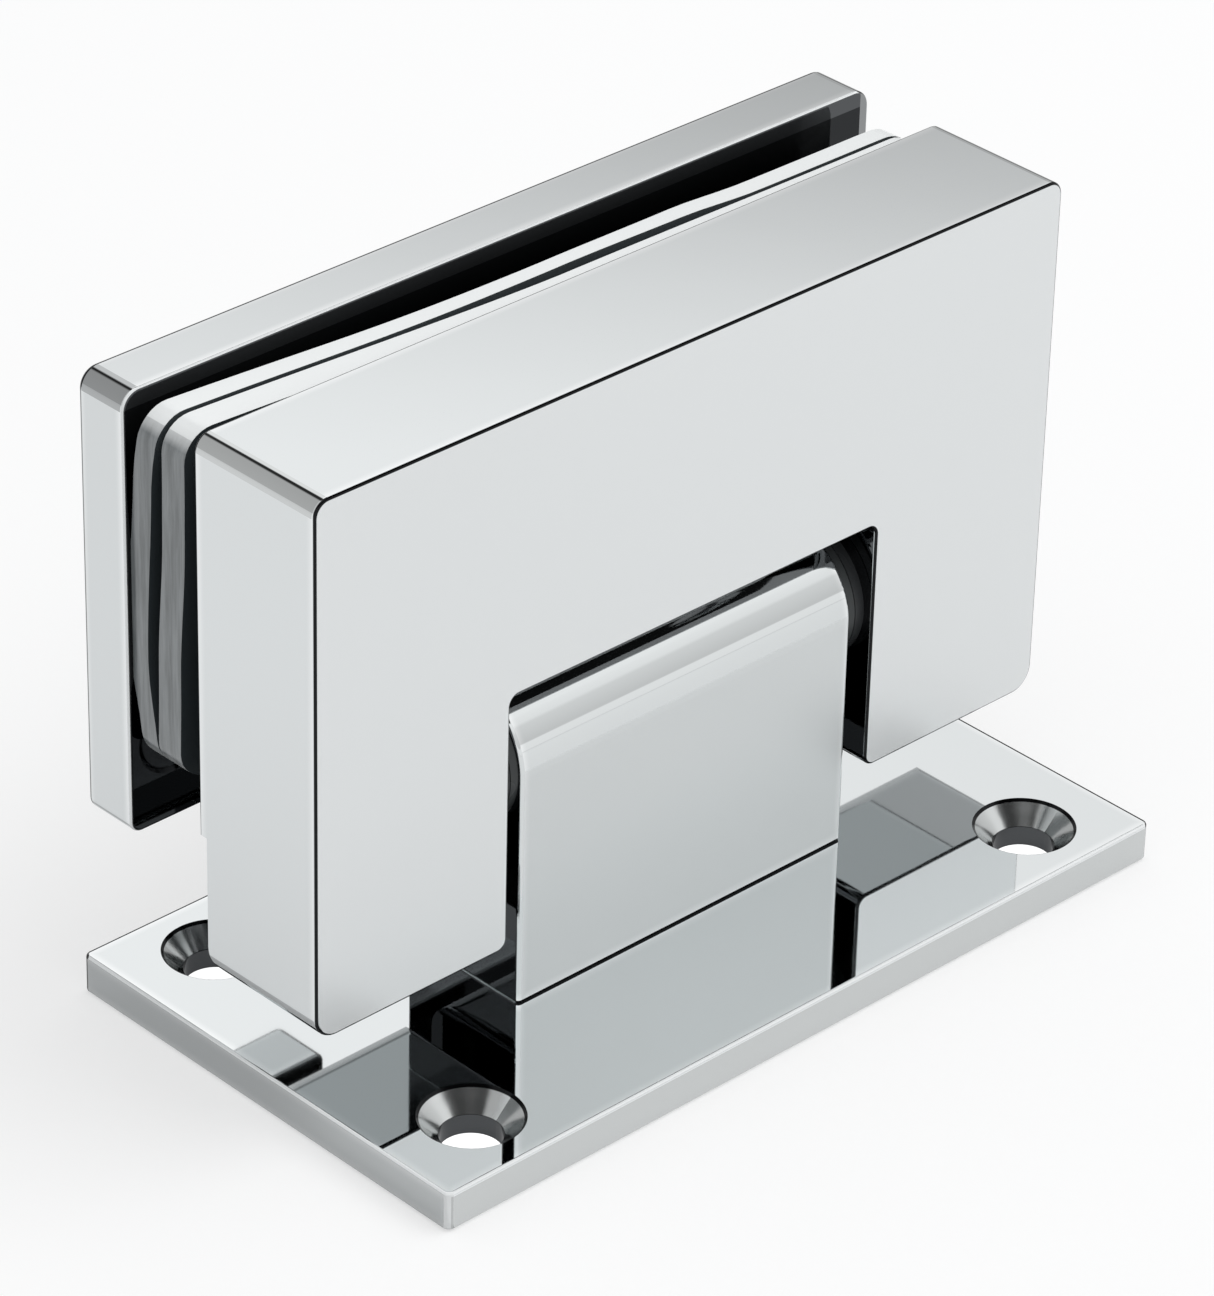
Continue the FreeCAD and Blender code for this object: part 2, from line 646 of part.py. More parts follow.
def make_keepers():
    """Plates that close the shaft slots and bear on the shaft's end flats."""
    for name, side in SIDES:
        body = new_body(f"shaft_keeper_{name}")
        outline = new_sketch(body, "outline", "XZ_Plane", lift="-ear_back")
        draw_rectangle(outline, f"{side} * keeper_near", f"{side} * (keeper_near + keeper_length)",
                       "axis_height - keeper_height / 2", "axis_height + keeper_height / 2")
        plate = add_pad(outline, "keeper_thick")
        round_edges(plate, "corners", "keeper_corner", lambda edge: runs_along(edge, Y_AXIS))
        holes = new_sketch(body, "screw_holes", "XZ_Plane", lift="-ear_back")
        for up in ("-1", "1"):
            draw_circle(holes, f"{side} * keeper_middle",
                        f"axis_height + {up} * keeper_screw_spacing / 2", "keeper_screw_shank")
        add_holes(holes, "keeper_screw_shank + 2 * hole_play",
                  "keeper_screw_head + 2 * (head_inset + screw_rim + thread_play)", reverse=True)


def make_screw(label, kind, place, turn):
    """Countersunk screw with a hexagon socket; its head faces +Z before it is turned."""
    body = new_body(label)
    head, shank = f"{kind}_head / 2", f"{kind}_shank / 2"
    length, socket = f"{kind}_length", f"{kind}_socket"
    cone = f"(screw_rim + ({head} - {shank}) / tan(sink_angle / 2))"
    tip = f"{shank} / 4"
    profile = new_sketch(body, "profile", "XZ_Plane")
    draw_outline(profile, [
        ("0", "0"), (head, "0"), (head, "-screw_rim"), (shank, f"-{cone}"),
        (shank, f"-{length} + {tip}"), (f"{shank} - {tip}", f"-{length}"), ("0", f"-{length}"),
    ])
    turned = body.newObject("PartDesign::Revolution", f"{label}_turned")
    turned.Profile = profile
    turned.ReferenceAxis = (profile, ["V_Axis"])
    turned.Angle = 360
    doc.recompute()
    hexagon = new_sketch(body, "socket", "XY_Plane")
    ring = [(f"{socket} / 2 / cos(30) * cos({60 * i})", f"{socket} / 2 / cos(30) * sin({60 * i})")
            for i in range(6)]
    draw_outline(hexagon, ring)
    add_pocket(hexagon, f"{cone} * 0.8")
    body.Placement.Rotation = turn
    for letter, words in zip("xyz", place):
        body.setExpression(f"Placement.Base.{letter}", formula(words))
    doc.recompute()


def make_screws():
    head_down = FreeCAD.Rotation(X_AXIS, 180)
    head_back = FreeCAD.Rotation(X_AXIS, -90)
    cover_face = "cover_front + cover_thick - head_inset"
    for name, side in SIDES:
        make_screw(f"block_screw_{name}", "block_screw",
                   (f"{side} * block_screw_spacing / 2", "0", "head_inset"), head_down)
        make_screw(f"cover_screw_{name}", "cover_screw",
                   (f"{side} * cover_screw_x", cover_face, "cover_screw_height"),
                   head_back)
        for level, up in (("lower", -1), ("upper", 1)):
            make_screw(f"keeper_screw_{name}_{level}", "keeper_screw",
                       (f"{side} * keeper_middle", "ear_back - head_inset",
                        f"axis_height + {up} * keeper_screw_spacing / 2"), head_back)


def check_and_write():
    """Stop on any failed object, then write one file for each part."""
    doc.recompute()
    for item in doc.Objects:
        if "Invalid" in item.State or "Error" in item.State:
            raise ValueError(f"{item.Name} failed: {item.State}")
    for part in parts:
        if part.Shape.isNull() or not part.Shape.isValid() or not part.Shape.Solids:
            raise ValueError(f"{part.Label} has no valid solid")
    os.makedirs("parts", exist_ok=True)
    for part in parts:
        part.Shape.exportStep(os.path.join("parts", part.Label + ".step"))
        print(part.Label, len(part.Shape.Solids), round(part.Shape.Volume, 2))


make_wall_plate()
make_pivot_block()
make_bushes_and_washers()
make_pivot_shaft()
make_spring_seat()
make_springs()
make_pressure_bar()
make_clamp_body()
make_keepers()
make_cover_plate()
make_gaskets()
make_sleeves()
make_screws()
check_and_write()
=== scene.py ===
import json
import math

import bmesh
import bpy
from mathutils import Matrix, Vector


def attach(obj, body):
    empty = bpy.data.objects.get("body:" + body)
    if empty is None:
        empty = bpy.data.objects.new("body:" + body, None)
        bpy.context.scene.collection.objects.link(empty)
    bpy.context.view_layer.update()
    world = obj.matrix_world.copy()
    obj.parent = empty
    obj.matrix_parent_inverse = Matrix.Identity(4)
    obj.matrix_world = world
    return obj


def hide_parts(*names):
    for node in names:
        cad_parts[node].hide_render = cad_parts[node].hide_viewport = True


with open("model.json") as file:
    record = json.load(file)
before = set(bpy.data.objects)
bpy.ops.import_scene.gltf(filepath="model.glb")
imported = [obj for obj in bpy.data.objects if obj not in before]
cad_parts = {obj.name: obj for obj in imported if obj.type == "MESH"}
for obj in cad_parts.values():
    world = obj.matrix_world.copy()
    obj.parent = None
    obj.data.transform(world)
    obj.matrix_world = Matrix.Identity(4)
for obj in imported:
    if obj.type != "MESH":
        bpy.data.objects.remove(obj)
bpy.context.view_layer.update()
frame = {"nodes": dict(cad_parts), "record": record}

MM = 0.001

# The camera stands in front of the hinge's left end and looks down on it.
CAMERA_PLACE = (-0.33864, -0.34636, 0.32405)
CAMERA_TURN = (-44.07, 58.74, 1.43)
CAMERA_LENS = 172.52

# Gasket sheets, in millimetres, as wide as the clamp and cut out round the pivot block.
GASKET_HALF = 44.9
GASKET_FOOT = 29.3
GASKET_TOP = 64.9
GASKET_CORNER = 3.0
NOTCH_HALF = 22.85
NOTCH_TOP = 37.85
SCREW_X = 29.5
SCREW_Z = 50.5
SCREW_HOLE = 5.3
CLAMP_BACK = 7.4

# Cut-out of clamp and cover with a little room round it, for the masks, in millimetres.
EDGE = 0.05
CUT = NOTCH_HALF + EDGE

# Plate holes, in millimetres: place of one of the four, radii of the bore and the sink, and
# half the width of a box round the sink.
HOLE_CENTRE = (35.5, 17.5, 0)
PLATE_BORE = 2.98
PLATE_SINK = 4.97
SINK_REACH = 5.1

# Chromes of the parts, then colours laid on as painted light: a painted highlight, paler
# fronts for a painted soft reflection, darker chromes from pale to black for painted shade
# and painted reflections, and the black of the dark edge lines of painted reflection.
CHROME = (0.80, 0.828, 0.835)
COVER_CHROME = (0.76, 0.787, 0.794)
PAINTED_HIGHLIGHT = (0.96, 0.98, 0.985)
SOFT_CHROME = (0.76, 0.788, 0.792)
CLAMP_FRONT_PAINTED_SHEEN = (0.95, 0.975, 0.98)
BLOCK_FRONT_PAINTED_SHEEN = (0.79, 0.82, 0.823)
PALE_PAINTED_SHADE = (0.68, 0.70, 0.70)
MID_PAINTED_SHADE = (0.48, 0.495, 0.50)
GREY_PAINTED_SHADE = (0.40, 0.415, 0.42)
LOW_PAINTED_SHADE = (0.30, 0.31, 0.315)
DARK_PAINTED_SHADE = (0.19, 0.195, 0.20)
DULL_PAINTED_SHADE = (0.10, 0.105, 0.11)
BLACK_PAINTED_SHADE = (0.03, 0.032, 0.034)
PAINTED_DARK_LINE = (0.02, 0.021, 0.022)

# A normal with less y than this belongs to a flat front.
FLAT_FRONT = -0.995
# How much a rim painted as a pale highlight loses of its metal, and a countersink gains in
# roughness.
RIM_MILK = 0.85
SINK_ROUGHNESS = 0.13
# Width of the dark ring of painted reflection round a countersink, in millimetres.
RING_WIDTH = 0.28

HEAD_STEEL = (0.70, 0.72, 0.725)
BUSH_STEEL = (0.52, 0.53, 0.54)
WIRE_STEEL = (0.38, 0.38, 0.39)
SLIDE_TINT = (0.07, 0.076, 0.077, 1)
SLIDE_SHADE = (0.045, 0.049, 0.05, 1)
WASHER_TINT = (0.05, 0.053, 0.055, 1)
WASHER_SHADE = (0.03, 0.032, 0.034, 1)

# Floor paper: its white, how bright the camera sees it, how much brighter it glows under the
# plate, a painted light seen through the holes in place of the plate's shadow, and how bright
# the chrome mirrors it, in general and left of the plate, where it is a painted shadow.
PAPER = (0.50, 0.50, 0.50, 1)
FLOOR_GLOW = 0.51
PAINTED_HOLE_GLOW = 0.5
FLOOR_SHEEN = 0.385
PAINTED_SHADOW_SHEEN = 0.10
FLOOR_HALF = 4.0
WHITE = (1, 1, 1, 1)
ROOM_LIGHT = (0.68, 0.685, 0.69, 1)

# The tent's walls: sine of the height above the floor, and how bright the wall is there.
FRONT_WALL = ((-1.0, 0.8), (0.13, 0.93), (0.15, 0.66), (0.45, 0.78), (0.50, 0.92),
              (0.585, 0.96), (0.62, 1.0), (0.665, 1.0), (0.68, 0.03),
              (0.83, 0.02), (0.90, 0.60), (1.0, 0.70))
BACK_RIGHT_WALL = ((-1.0, 0.5), (0.43, 0.48), (0.455, 0.70), (0.47, 0.84), (0.49, 0.96),
                   (0.68, 1.0), (0.71, 0.03), (0.83, 0.02), (0.90, 0.60), (1.0, 0.70))
BACK_LEFT_WALL = ((-1.0, 0.5), (0.0, 0.54), (0.5, 0.52), (0.80, 0.50), (0.90, 0.60),
                  (1.0, 0.70))


def smooth(low, high, value):
    """Rises smoothly from 0 at low to 1 at high."""
    share = min(1.0, max(0.0, (value - low) / (high - low)))
    return share * share * (3 - 2 * share)


# Camera

def stand_camera():
    azimuth, tilt, roll = (math.radians(angle) for angle in CAMERA_TURN)
    data = bpy.data.cameras.new("camera")
    data.lens = CAMERA_LENS
    data.sensor_width = 36
    data.clip_start = 0.02
    data.clip_end = 20
    camera = bpy.data.objects.new("camera", data)
    bpy.context.collection.objects.link(camera)
    camera.matrix_world = (Matrix.Translation(CAMERA_PLACE)
                           @ Matrix.Rotation(azimuth, 4, "Z")
                           @ Matrix.Rotation(tilt, 4, "X")
                           @ Matrix.Rotation(roll, 4, "Z"))
    bpy.context.scene.camera = camera


# Node trees

def tree_of(owner):
    owner.use_nodes = True
    owner.node_tree.nodes.clear()
    return owner.node_tree


def add(tree, kind, **values):
    """Adds a node. A value goes to the node's own setting, or else to its socket."""
    node = tree.nodes.new(kind)
    for name, value in values.items():
        if hasattr(node, name):
            setattr(node, name, value)
        else:
            node.inputs[name.replace("_", " ")].default_value = value
    return node


def join(tree, start, end):
    tree.links.new(start, end)


def new_group(name, inputs, outputs):
    tree = bpy.data.node_groups.new(name, "ShaderNodeTree")
    for label, kind, value in inputs:
        socket = tree.interface.new_socket(name=label, in_out="INPUT", socket_type=kind)
        if value is not None:
            socket.default_value = value
    for label, kind in outputs:
        tree.interface.new_socket(name=label, in_out="OUTPUT", socket_type=kind)
    start = tree.nodes.new("NodeGroupInput")
    end = tree.nodes.new("NodeGroupOutput")
    return tree, start, end


def combine(tree, operation, first, second):
    """One value from two."""
    both = add(tree, "ShaderNodeMath", operation=operation)
    join(tree, first, both.inputs[0])
    join(tree, second, both.inputs[1])
    return both.outputs["Value"]


def product(tree, first, second):
    return combine(tree, "MULTIPLY", first, second)


def scaled_sum(tree, value, factor, base):
    """value * factor + base, where factor and base are sockets or plain numbers."""
    result = add(tree, "ShaderNodeMath", operation="MULTIPLY_ADD")
    join(tree, value, result.inputs[0])
    for i, term in ((1, factor), (2, base)):
        if isinstance(term, (int, float)):
            result.inputs[i].default_value = term
        else:
            join(tree, term, result.inputs[i])
    return result.outputs["Value"]


def rest_of(tree, mask):
    """1 minus a mask."""
    rest = add(tree, "ShaderNodeMath", operation="SUBTRACT")
    rest.inputs[0].default_value = 1
    join(tree, mask, rest.inputs[1])
    return rest.outputs["Value"]


def vector_step(tree, operation, *vectors):
    """Vector maths on sockets."""
    step = add(tree, "ShaderNodeVectorMath", operation=operation)
    for vector, socket in zip(vectors, step.inputs):
        join(tree, vector, socket)
    return step


def split(tree, vector):
    """The three values of a vector."""
    axes = add(tree, "ShaderNodeSeparateXYZ")
    join(tree, vector, axes.inputs["Vector"])
    return axes.outputs


def extreme(tree, operation, axes):
    """Smallest or largest of three values."""
    first = combine(tree, operation, axes["X"], axes["Y"])
    return combine(tree, operation, first, axes["Z"])


def box_depth(tree, place, start):
    """Along each axis, how far a place lies inside the box from Low to High."""
    above = vector_step(tree, "SUBTRACT", place, start.outputs["Low"])
    below = vector_step(tree, "SUBTRACT", start.outputs["High"], place)
    least = vector_step(tree, "MINIMUM", above.outputs["Vector"], below.outputs["Vector"])
    return least.outputs["Vector"]


def distance_in_plane(tree, place, centre, plane):
    """Distance from the nearest of the centres that the axes mirror, seen in a plane."""
    folded = vector_step(tree, "ABSOLUTE", place)
    offset = vector_step(tree, "SUBTRACT", folded.outputs["Vector"], centre)
    across = vector_step(tree, "MULTIPLY", offset.outputs["Vector"])
    across.inputs[1].default_value = plane
    return vector_step(tree, "LENGTH", across.outputs["Vector"]).outputs["Value"]


def raise_bump(tree, strength, height, distance, end):
    """Bump node that feeds the group's Normal; strength is a socket or a plain number."""
    bump = add(tree, "ShaderNodeBump", Distance=distance)
    if isinstance(strength, float):
        bump.inputs["Strength"].default_value = strength
    else:
        join(tree, strength, bump.inputs["Strength"])
    join(tree, height, bump.inputs["Height"])
    join(tree, bump.outputs["Normal"], end.inputs["Normal"])


def spread_roughness(tree, value, start, low, high):
    """Goes from Low Roughness to High Roughness as a value goes from low to high."""
    spread = add(tree, "ShaderNodeMapRange", From_Min=low, From_Max=high)
    join(tree, value, spread.inputs["Value"])
    join(tree, start.outputs["Low Roughness"], spread.inputs["To Min"])
    join(tree, start.outputs["High Roughness"], spread.inputs["To Max"])
    return spread.outputs["Result"]


def blend(tree, factor, first, second):
    """Mixes two colour sockets."""
    mix = add(tree, "ShaderNodeMix", data_type="RGBA")
    join(tree, factor, mix.inputs["Factor"])
    join(tree, first, mix.inputs["A"])
    join(tree, second, mix.inputs["B"])
    return mix.outputs["Result"]


def ease(tree, value, low, high):
    """Rises from 0 at low to 1 at high; low may be the larger one."""
    step = add(tree, "ShaderNodeMapRange", From_Min=low, From_Max=high)
    join(tree, value, step.inputs["Value"])
    return step.outputs["Result"]


def plating_group():
    """Plated skin: cloudy haze in the gloss, more of it on the flat front, and soft ripples."""
    tree, start, end = new_group("plating", [
        ("Haze Size", "NodeSocketFloat", 60.0),
        ("Low Roughness", "NodeSocketFloat", 0.03),
        ("High Roughness", "NodeSocketFloat", 0.09),
        ("Front Haze", "NodeSocketFloat", 0.0),
        ("Front Milk", "NodeSocketFloat", 0.0),
        ("Ripple", "NodeSocketFloat", 0.02),
    ], [("Roughness", "NodeSocketFloat"), ("Metallic", "NodeSocketFloat"),
        ("Front", "NodeSocketFloat"), ("Normal", "NodeSocketVector")])
    place = add(tree, "ShaderNodeTexCoord")
    cloud = add(tree, "ShaderNodeTexNoise", Detail=3.0, Roughness=0.55)
    join(tree, place.outputs["Object"], cloud.inputs["Vector"])
    join(tree, start.outputs["Haze Size"], cloud.inputs["Scale"])
    gloss = spread_roughness(tree, cloud.outputs["Fac"], start, 0.3, 0.7)
    facing = add(tree, "ShaderNodeMath", operation="LESS_THAN")
    facing.inputs[1].default_value = FLAT_FRONT
    join(tree, split(tree, place.outputs["Normal"])["Y"], facing.inputs[0])
    flat = facing.outputs["Value"]
    haze = scaled_sum(tree, flat, start.outputs["Front Haze"], gloss)
    join(tree, haze, end.inputs["Roughness"])
    clear = rest_of(tree, product(tree, flat, start.outputs["Front Milk"]))
    join(tree, clear, end.inputs["Metallic"])
    join(tree, flat, end.inputs["Front"])
    wave = add(tree, "ShaderNodeTexNoise", Scale=90.0, Detail=1.0, Roughness=0.4)
    join(tree, place.outputs["Object"], wave.inputs["Vector"])
    raise_bump(tree, start.outputs["Ripple"], wave.outputs["Fac"], 0.0002, end)
    return tree


def place_mask_group():
    """1 inside a box of the piece's own rest coordinates, in metres."""
    tree, start, end = new_group("place_mask", [
        ("Low", "NodeSocketVector", (0, 0, 0)),
        ("High", "NodeSocketVector", (1, 1, 1)),
    ], [("Mask", "NodeSocketFloat")])
    place = add(tree, "ShaderNodeTexCoord")
    depths = split(tree, box_depth(tree, place.outputs["Object"], start))
    inside = add(tree, "ShaderNodeMath", operation="GREATER_THAN")
    inside.inputs[1].default_value = 0
    join(tree, extreme(tree, "MINIMUM", depths), inside.inputs[0])
    join(tree, inside.outputs["Value"], end.inputs["Mask"])
    return tree


def painted_rim_reflection_group():
    """Mask of rounded rims for painted reflections, dark lines and pale highlights: those of the
    front, of the back, the right corners and the left.
    """
    tree, start, end = new_group("painted_rim_reflection", [
        ("Front", "NodeSocketFloat", 0.0),
        ("Back", "NodeSocketFloat", 0.0),
        ("Right", "NodeSocketFloat", 0.0),
        ("Left", "NodeSocketFloat", 0.0),
    ], [("Mask", "NodeSocketFloat")])
    place = add(tree, "ShaderNodeTexCoord")
    normal = split(tree, place.outputs["Normal"])
    size = vector_step(tree, "ABSOLUTE", place.outputs["Normal"])
    axes = split(tree, size.outputs["Vector"])
    steepest = extreme(tree, "MAXIMUM", axes)
    last = None
    for label, axis, limits, steep, full, short in (
            ("Front", "Y", (-0.10, -0.14), 0.985, 0.955, False),
            ("Left", "X", (-0.10, -0.14), 0.985, 0.955, False),
            ("Back", "Y", (0.04, 0.08), 0.995, 0.975, True),
            ("Right", "X", (0.20, 0.24), 0.99, 0.97, True)):
        rim = product(tree, ease(tree, steepest, steep, full),
                      ease(tree, normal[axis], *limits))
        line = product(tree, rim, start.outputs[label])
        if short:
            line = product(tree, line, ease(tree, axes[axis], 0.74, 0.70))
        last = combine(tree, "MAXIMUM", last, line) if last is not None else line
    join(tree, last, end.inputs["Mask"])
    return tree


def painted_edge_sheen_group():
    """Mask of a painted highlight: 1 on the flat faces beside the edges of a box, fading
    inwards; places in metres.
    """
    tree, start, end = new_group("painted_edge_sheen", [
        ("Low", "NodeSocketVector", (0, 0, 0)),
        ("High", "NodeSocketVector", (1, 1, 1)),
        ("Width", "NodeSocketFloat", 0.0012),
    ], [("Mask", "NodeSocketFloat")])
    place = add(tree, "ShaderNodeTexCoord")
    depth = box_depth(tree, place.outputs["Object"], start)
    size = vector_step(tree, "ABSOLUTE", place.outputs["Normal"])
    away = vector_step(tree, "ADD", depth, size.outputs["Vector"])
    nearest = extreme(tree, "MINIMUM", split(tree, away.outputs["Vector"]))
    fade = add(tree, "ShaderNodeMapRange", From_Max=0.0, interpolation_type="SMOOTHSTEP")
    join(tree, nearest, fade.inputs["Value"])
    join(tree, start.outputs["Width"], fade.inputs["From Min"])
    join(tree, fade.outputs["Result"], end.inputs["Mask"])
    return tree


def hole_mask_group():
    """1 where the distance to the nearest of four upright hole axes is within two radii."""
    tree, start, end = new_group("hole_mask", [
        ("Centre", "NodeSocketVector", (0.035, 0.015, 0)),
        ("Inner", "NodeSocketFloat", 0.0),
        ("Outer", "NodeSocketFloat", 0.005),
    ], [("Mask", "NodeSocketFloat")])
    place = add(tree, "ShaderNodeTexCoord")
    far = distance_in_plane(tree, place.outputs["Object"], start.outputs["Centre"], (1, 1, 0))
    beyond = combine(tree, "GREATER_THAN", far, start.outputs["Inner"])
    within = combine(tree, "LESS_THAN", far, start.outputs["Outer"])
    join(tree, product(tree, beyond, within), end.inputs["Mask"])
    return tree


def turned_group():
    """Fine rings that a lathe leaves on the head of a screw along Y; centre in metres."""
    tree, start, end = new_group("turned_rings", [
        ("Centre", "NodeSocketVector", (0, 0, 0)),
        ("Ring Pitch", "NodeSocketFloat", 14000.0),
        ("Low Roughness", "NodeSocketFloat", 0.1),
        ("High Roughness", "NodeSocketFloat", 0.2),
        ("Depth", "NodeSocketFloat", 0.1),
    ], [("Roughness", "NodeSocketFloat"), ("Normal", "NodeSocketVector")])
    place = add(tree, "ShaderNodeTexCoord")
    far = distance_in_plane(tree, place.outputs["Object"], start.outputs["Centre"], (1, 0, 1))
    ring = add(tree, "ShaderNodeMath", operation="SINE")
    join(tree, product(tree, far, start.outputs["Ring Pitch"]), ring.inputs[0])
    gloss = spread_roughness(tree, ring.outputs["Value"], start, -1.0, 1.0)
    join(tree, gloss, end.inputs["Roughness"])
    raise_bump(tree, start.outputs["Depth"], ring.outputs["Value"], 0.00002, end)
    return tree


def moulded_group():
    """Moulded plastic: cloudy tint, slight flow lines and a fine skin."""
    tree, start, end = new_group("moulded_skin", [
        ("Tint", "NodeSocketColor", (0.7, 0.7, 0.7, 1.0)),
        ("Shade", "NodeSocketColor", (0.6, 0.6, 0.6, 1.0)),
        ("Cloud Size", "NodeSocketFloat", 120.0),
        ("Low Roughness", "NodeSocketFloat", 0.2),
        ("High Roughness", "NodeSocketFloat", 0.35),
        ("Skin", "NodeSocketFloat", 0.1),
    ], [("Color", "NodeSocketColor"), ("Roughness", "NodeSocketFloat"),
        ("Normal", "NodeSocketVector")])
    place = add(tree, "ShaderNodeTexCoord")
    cloud = add(tree, "ShaderNodeTexNoise", Detail=2.0)
    join(tree, place.outputs["Object"], cloud.inputs["Vector"])
    join(tree, start.outputs["Cloud Size"], cloud.inputs["Scale"])
    mixed = blend(tree, cloud.outputs["Fac"], start.outputs["Shade"], start.outputs["Tint"])
    join(tree, mixed, end.inputs["Color"])
    gloss = spread_roughness(tree, cloud.outputs["Fac"], start, 0.3, 0.7)
    join(tree, gloss, end.inputs["Roughness"])
    grain = add(tree, "ShaderNodeTexNoise", Scale=900.0, Detail=2.0)
    join(tree, place.outputs["Object"], grain.inputs["Vector"])
    raise_bump(tree, start.outputs["Skin"], grain.outputs["Fac"], 0.0001, end)
    return tree


def gasket_group():
    """Milky plastic: painted light on the upper rims and the high back faces, streaked grey
    ends, and painted shade on the faces pressed between the parts.
    """
    tree, start, end = new_group("gasket_skin", [
        ("Painted Light", "NodeSocketColor", (0.92, 0.94, 0.94, 1.0)),
        ("End", "NodeSocketColor", (0.30, 0.32, 0.33, 1.0)),
        ("End Shade", "NodeSocketColor", (0.17, 0.185, 0.19, 1.0)),
        ("Painted Shade", "NodeSocketColor", (0.045, 0.055, 0.06, 1.0)),
    ], [("Color", "NodeSocketColor"), ("Roughness", "NodeSocketFloat"),
        ("Normal", "NodeSocketVector")])
    place = add(tree, "ShaderNodeTexCoord")
    squeeze = add(tree, "ShaderNodeMapping")
    squeeze.inputs["Scale"].default_value = (1.0, 1.6, 0.12)
    join(tree, place.outputs["Object"], squeeze.inputs["Vector"])
    streak = add(tree, "ShaderNodeTexNoise", Scale=900.0, Detail=3.0, Roughness=0.6)
    join(tree, squeeze.outputs["Vector"], streak.inputs["Vector"])
    ends = blend(tree, ease(tree, streak.outputs["Fac"], 0.35, 0.65),
                 start.outputs["End Shade"], start.outputs["End"])
    size = vector_step(tree, "ABSOLUTE", place.outputs["Normal"])
    axes = split(tree, size.outputs["Vector"])
    rims = blend(tree, ease(tree, axes["Z"], 0.35, 0.8), ends, start.outputs["Painted Light"])
    pressed = ease(tree, axes["Y"], 0.75, 0.95)
    high = ease(tree, split(tree, place.outputs["Object"])["Z"], 0.058, 0.0635)
    behind = add(tree, "ShaderNodeMath", operation="GREATER_THAN")
    join(tree, split(tree, place.outputs["Normal"])["Y"], behind.inputs[0])
    lit = product(tree, high, behind.outputs["Value"])
    faces = blend(tree, lit, start.outputs["Painted Shade"], start.outputs["Painted Light"])
    join(tree, blend(tree, pressed, rims, faces), end.inputs["Color"])
    gloss = add(tree, "ShaderNodeMapRange", To_Min=0.12, To_Max=0.3)
    join(tree, streak.outputs["Fac"], gloss.inputs["Value"])
    join(tree, gloss.outputs["Result"], end.inputs["Roughness"])
    raise_bump(tree, 0.08, streak.outputs["Fac"], 0.0001, end)
    return tree


# Materials

def surface(name, group, values, color=None, **settings):
    """Material with one shader; the group feeds what varies over the surface."""
    material = bpy.data.materials.new(name)
    tree = tree_of(material)
    shader = tree.nodes.new("ShaderNodeBsdfPrincipled")
    if color:
        shader.inputs["Base Color"].default_value = (*color, 1)
    for label, value in settings.items():
        shader.inputs[label.replace("_", " ")].default_value = value
    effect = tree.nodes.new("ShaderNodeGroup")
    effect.node_tree = group
    for label, value in values.items():
        effect.inputs[label].default_value = value
    for label, target in (("Color", "Base Color"), ("Roughness", "Roughness"),
                          ("Normal", "Normal")):
        if label in effect.outputs:
            join(tree, effect.outputs[label], shader.inputs[target])
    out = tree.nodes.new("ShaderNodeOutputMaterial")
    join(tree, shader.outputs["BSDF"], out.inputs["Surface"])
    return material


def place_effect(tree, group, **values):
    """Places a group; vectors and lengths come in millimetres."""
    effect = add(tree, "ShaderNodeGroup", node_tree=group)
    for label, value in values.items():
        effect.inputs[label].default_value = (
            value * MM if isinstance(value, (int, float)) else Vector(value) * MM)
    return effect.outputs["Mask"]


def box_masks(tree, group, boxes):
    """Joins the masks of several boxes into one socket; places in millimetres."""
    whole = None
    for low, high in boxes:
        mask = place_effect(tree, group, Low=low, High=high)
        whole = combine(tree, "MAXIMUM", whole, mask) if whole is not None else mask
    return whole


def tint(tree, last, mask, shade):
    """Lays a shade over the last colour, a socket or a plain one, where the mask is 1."""
    mix = add(tree, "ShaderNodeMix", data_type="RGBA")
    mix.inputs["B"].default_value = (*shade, 1)
    join(tree, mask, mix.inputs["Factor"])
    if isinstance(last, tuple):
        mix.inputs["A"].default_value = (*last, 1)
    else:
        join(tree, last, mix.inputs["A"])
    return mix.outputs["Result"]


